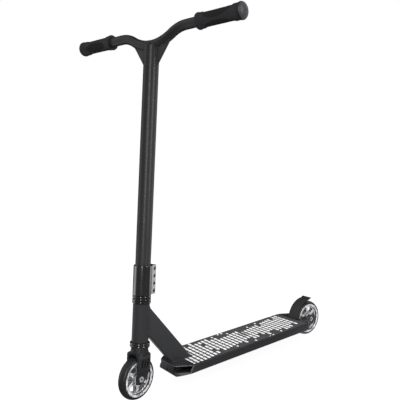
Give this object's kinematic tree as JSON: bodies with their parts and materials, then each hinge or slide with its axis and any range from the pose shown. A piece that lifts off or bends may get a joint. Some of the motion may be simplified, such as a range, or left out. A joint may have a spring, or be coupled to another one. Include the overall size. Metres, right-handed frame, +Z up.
{
  "type": "stunt scooter",
  "caption": "Rigid two-wheeled kick scooter with gull-wing bars that turn freely, a split clamp, a hollow deck and a sprung rear fender brake.",
  "frame": {"origin": "on the ground, midway along the overall box", "axes": "+Z up, forward is -Y, the rider's left is +X"},
  "size_m": [0.4966, 0.6839, 0.857],
  "materials": {
    "satin_black_frame": "satin powder coat",
    "satin_black_bars": "satin powder coat",
    "satin_black_fork": "satin powder coat",
    "gloss_black_headset": "gloss anodised",
    "dark_chrome": "polished dark chrome",
    "black_steel": "black oxide",
    "fender_steel": "satin black",
    "steel": "ground steel",
    "wheel_core": "speckled silver",
    "tyre": "soft sheen urethane",
    "grip_rubber": "matte moulded",
    "plug_plastic": "satin moulded",
    "grip_tape": "coarse grit"
  },
  "bodies": {
    "frame": {"deck": "satin_black_frame", "neck": "satin_black_frame", "head_tube": "satin_black_frame", "grip_tape": "grip_tape", "headset_upper_cup": "gloss_black_headset", "headset_upper_bearing": "steel", "headset_lower_cup": "gloss_black_headset", "headset_lower_bearing": "steel", "fender_foot": "fender_steel", "fender_screw_1": "black_steel", "fender_screw_2": "black_steel", "rear_axle_bolt": "steel", "rear_axle_nut": "black_steel", "rear_axle_washer_left": "steel", "rear_axle_washer_right": "steel", "rear_bearing_spacer": "steel"},
    "steering": {"bar_down_tube": "satin_black_bars", "bar_cross_tube": "satin_black_bars", "bar_gusset_left": "satin_black_bars", "bar_gusset_right": "satin_black_bars", "grip_left": "grip_rubber", "grip_right": "grip_rubber", "bar_end_plug_left": "plug_plastic", "bar_end_plug_right": "plug_plastic", "clamp_collar": "dark_chrome", "clamp_bolt_1": "steel", "clamp_bolt_2": "steel", "clamp_bolt_3": "steel", "clamp_bolt_4": "steel", "steerer_shim": "steel", "compression_cap": "black_steel", "compression_bolt": "black_steel", "star_nut": "steel", "steerer_tube": "black_steel", "fork": "satin_black_fork", "crown_race": "steel", "headset_compression_ring": "steel", "headset_top_cap": "gloss_black_headset", "front_axle_bolt": "steel", "front_axle_nut": "black_steel", "front_axle_washer_left": "steel", "front_axle_washer_right": "steel", "front_bearing_spacer": "steel"},
    "front_wheel": {"front_tyre": "tyre", "front_wheel_core": "wheel_core", "front_bearing_left": "steel", "front_bearing_right": "steel"},
    "rear_wheel": {"rear_tyre": "tyre", "rear_wheel_core": "wheel_core", "rear_bearing_left": "steel", "rear_bearing_right": "steel"},
    "brake": {"fender_brake": "fender_steel"}
  },
  "joints": [
    {"name": "steering_turn", "type": "hinge", "parent": "frame", "child": "steering", "pos_m": [0, -0.28609, 0.04916], "axis": [0, 0.1201, 0.9928], "continuous": true},
    {"name": "front_wheel_spin", "type": "hinge", "parent": "steering", "child": "front_wheel", "pos_m": [0.00165, -0.29284, 0.04998], "axis": [0.972, 0.2334, -0.0282], "continuous": true},
    {"name": "rear_wheel_spin", "type": "hinge", "parent": "frame", "child": "rear_wheel", "pos_m": [0, 0.29197, 0.05], "axis": [1, 0, 0], "continuous": true},
    {"name": "brake_press", "type": "hinge", "parent": "frame", "child": "brake", "pos_m": [0, 0.23509, 0.06], "axis": [-1, 0, 0], "range_deg": [0, 5.5], "stiffness_Nm_per_rad": 4}
  ]
}
